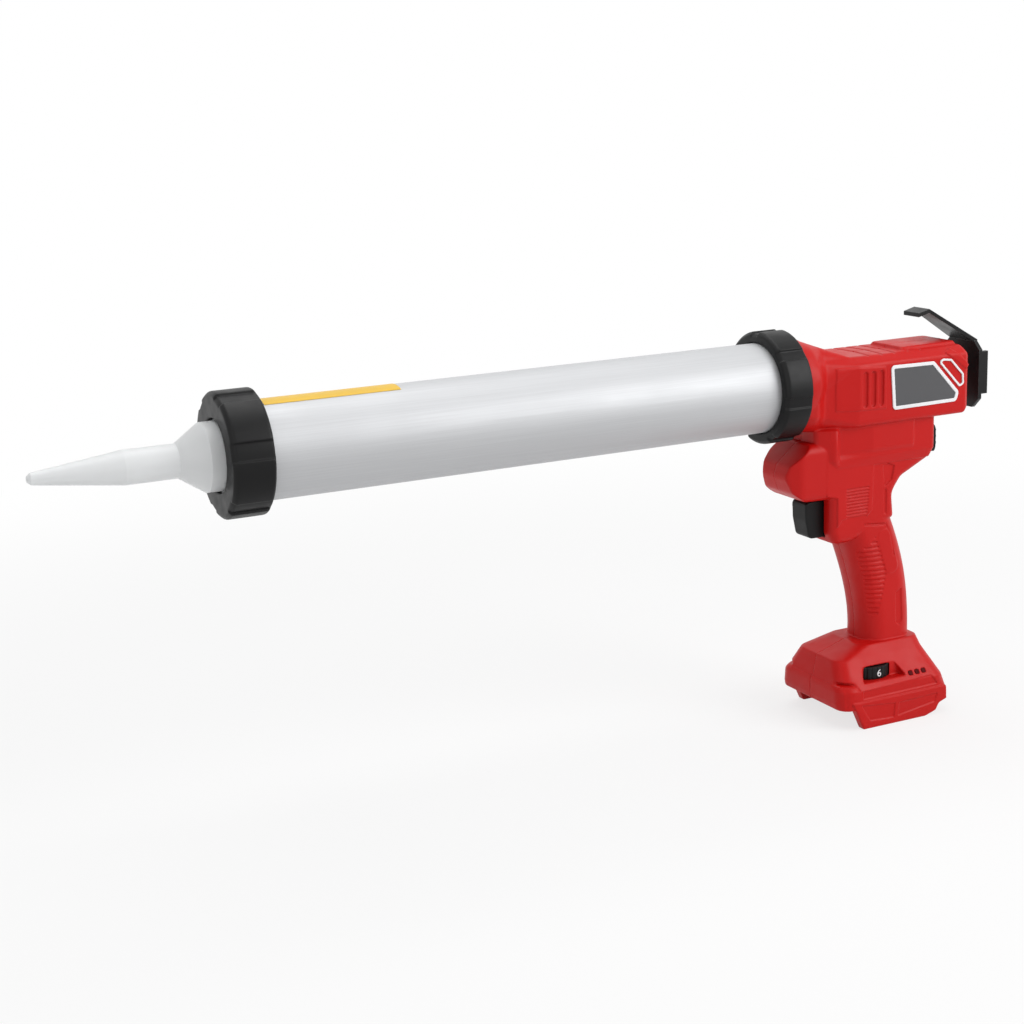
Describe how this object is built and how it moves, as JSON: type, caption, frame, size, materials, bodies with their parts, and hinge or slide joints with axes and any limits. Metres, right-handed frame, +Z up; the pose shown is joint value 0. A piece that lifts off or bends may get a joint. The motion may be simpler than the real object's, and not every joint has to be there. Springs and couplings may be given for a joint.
{
  "type": "cordless caulking tool",
  "caption": "Pistol-grip cordless caulking tool with a long tube barrel, screw-on cap and nozzle, rack-driven piston, trigger, speed dial and rear hook.",
  "frame": {"origin": "middle of the foot's underside, between the battery rails, on the parting plane of the housing", "axes": "+X to the rear along the barrel, +Y to the tool's right hand side, +Z up"},
  "size_m": [0.5945, 0.071, 0.2547],
  "materials": {
    "housing_red": "satin moulded plastic",
    "black_plastic": "fine moulded grain",
    "tube_aluminium": "satin anodised",
    "label_yellow": "printed film",
    "nozzle_white": "translucent moulded plastic",
    "black_steel": "black coated steel",
    "plain_steel": "machined",
    "badge_white": "smooth",
    "badge_grey": "smooth",
    "led_lens": "clear lens",
    "board_green": "lacquered board",
    "contact_brass": "plated",
    "seal_rubber": "smooth"
  },
  "bodies": {
    "housing": {"left_housing": "housing_red", "right_housing": "housing_red", "housing_screws": "black_steel", "spigot": "black_plastic", "rear_rod_guide": "black_plastic", "motor_can": "plain_steel", "motor_end_cap": "black_plastic", "gearbox_case": "black_plastic", "gear_plate_left": "plain_steel", "gear_plate_right": "plain_steel", "trigger_switch": "black_plastic", "control_board": "board_green", "dial_post": "board_green", "terminal_block": "black_plastic", "terminal_blades": "contact_brass", "led_windows": "led_lens", "badge_trim": "badge_white", "badge_plate": "badge_grey", "lever_pin": "plain_steel"},
    "rod": {"rack_rod": "plain_steel", "piston": "black_plastic", "piston_seal": "seal_rubber", "piston_screw": "black_steel", "hook_plate": "black_steel", "hook_screw": "black_steel"},
    "drive": {"drive_shaft": "plain_steel", "drive_pinion": "plain_steel", "final_gear": "plain_steel"},
    "lay": {"layshaft": "plain_steel", "lay_pinion": "plain_steel"},
    "trigger": {"trigger": "black_plastic"},
    "lever": {"release_lever": "black_plastic"},
    "dial": {"speed_dial": "black_plastic"},
    "barrel": {"barrel_tube": "tube_aluminium", "barrel_thread_ring": "tube_aluminium", "barrel_label": "label_yellow"},
    "collar": {"rear_collar": "black_plastic"},
    "nozzle": {"nozzle": "nozzle_white"},
    "cap": {"front_cap": "black_plastic"}
  },
  "joints": [
    {"name": "rod_slide", "type": "slide", "parent": "housing", "child": "rod", "axis": [1, 0, 0], "range_m": [0, 0.29]},
    {"name": "drive_turn", "type": "hinge", "parent": "housing", "child": "drive", "pos_m": [0.003, 0, 0.2015], "axis": [0, 1, 0], "range_deg": [0, 1390]},
    {"name": "lay_turn", "type": "hinge", "parent": "housing", "child": "lay", "pos_m": [0.003, 0, 0.16625], "axis": [0, 1, 0], "range_deg": [-2960, 0]},
    {"name": "trigger_pull", "type": "slide", "parent": "housing", "child": "trigger", "axis": [1, 0, 0], "range_m": [0, 0.007], "stiffness_N_per_m": 500, "springref_m": -0.004},
    {"name": "lever_press", "type": "hinge", "parent": "housing", "child": "lever", "pos_m": [0.0315, 0, 0.1825], "axis": [0, 1, 0], "range_deg": [0, 8.5], "stiffness_Nm_per_rad": 0.1, "springref_deg": -5.73},
    {"name": "dial_turn", "type": "hinge", "parent": "housing", "child": "dial", "pos_m": [-0.011, -0.015, 0.0328], "axis": [0, 0, 1], "range_deg": [0, 250]},
    {"name": "barrel_slide", "type": "slide", "parent": "housing", "child": "barrel", "axis": [-1, 0, 0], "range_m": [0, 0.012]},
    {"name": "collar_turn", "type": "hinge", "parent": "barrel", "child": "collar", "pos_m": [-0.0735, 0, 0.217], "axis": [-1, 0, 0], "range_deg": [0, 1085]},
    {"name": "nozzle_slide", "type": "slide", "parent": "barrel", "child": "nozzle", "axis": [-1, 0, 0], "range_m": [0, 0.012]},
    {"name": "cap_turn", "type": "hinge", "parent": "nozzle", "child": "cap", "pos_m": [-0.407, 0, 0.217], "axis": [-1, 0, 0], "range_deg": [0, 1085]}
  ],
  "couplings": [
    {"joint": "drive_turn", "follows": "rod_slide", "rad_per_m": 83.333},
    {"joint": "lay_turn", "follows": "rod_slide", "rad_per_m": -177.78},
    {"joint": "collar_turn", "follows": "barrel_slide", "rad_per_m": 1570.8},
    {"joint": "cap_turn", "follows": "nozzle_slide", "rad_per_m": 1570.8}
  ]
}
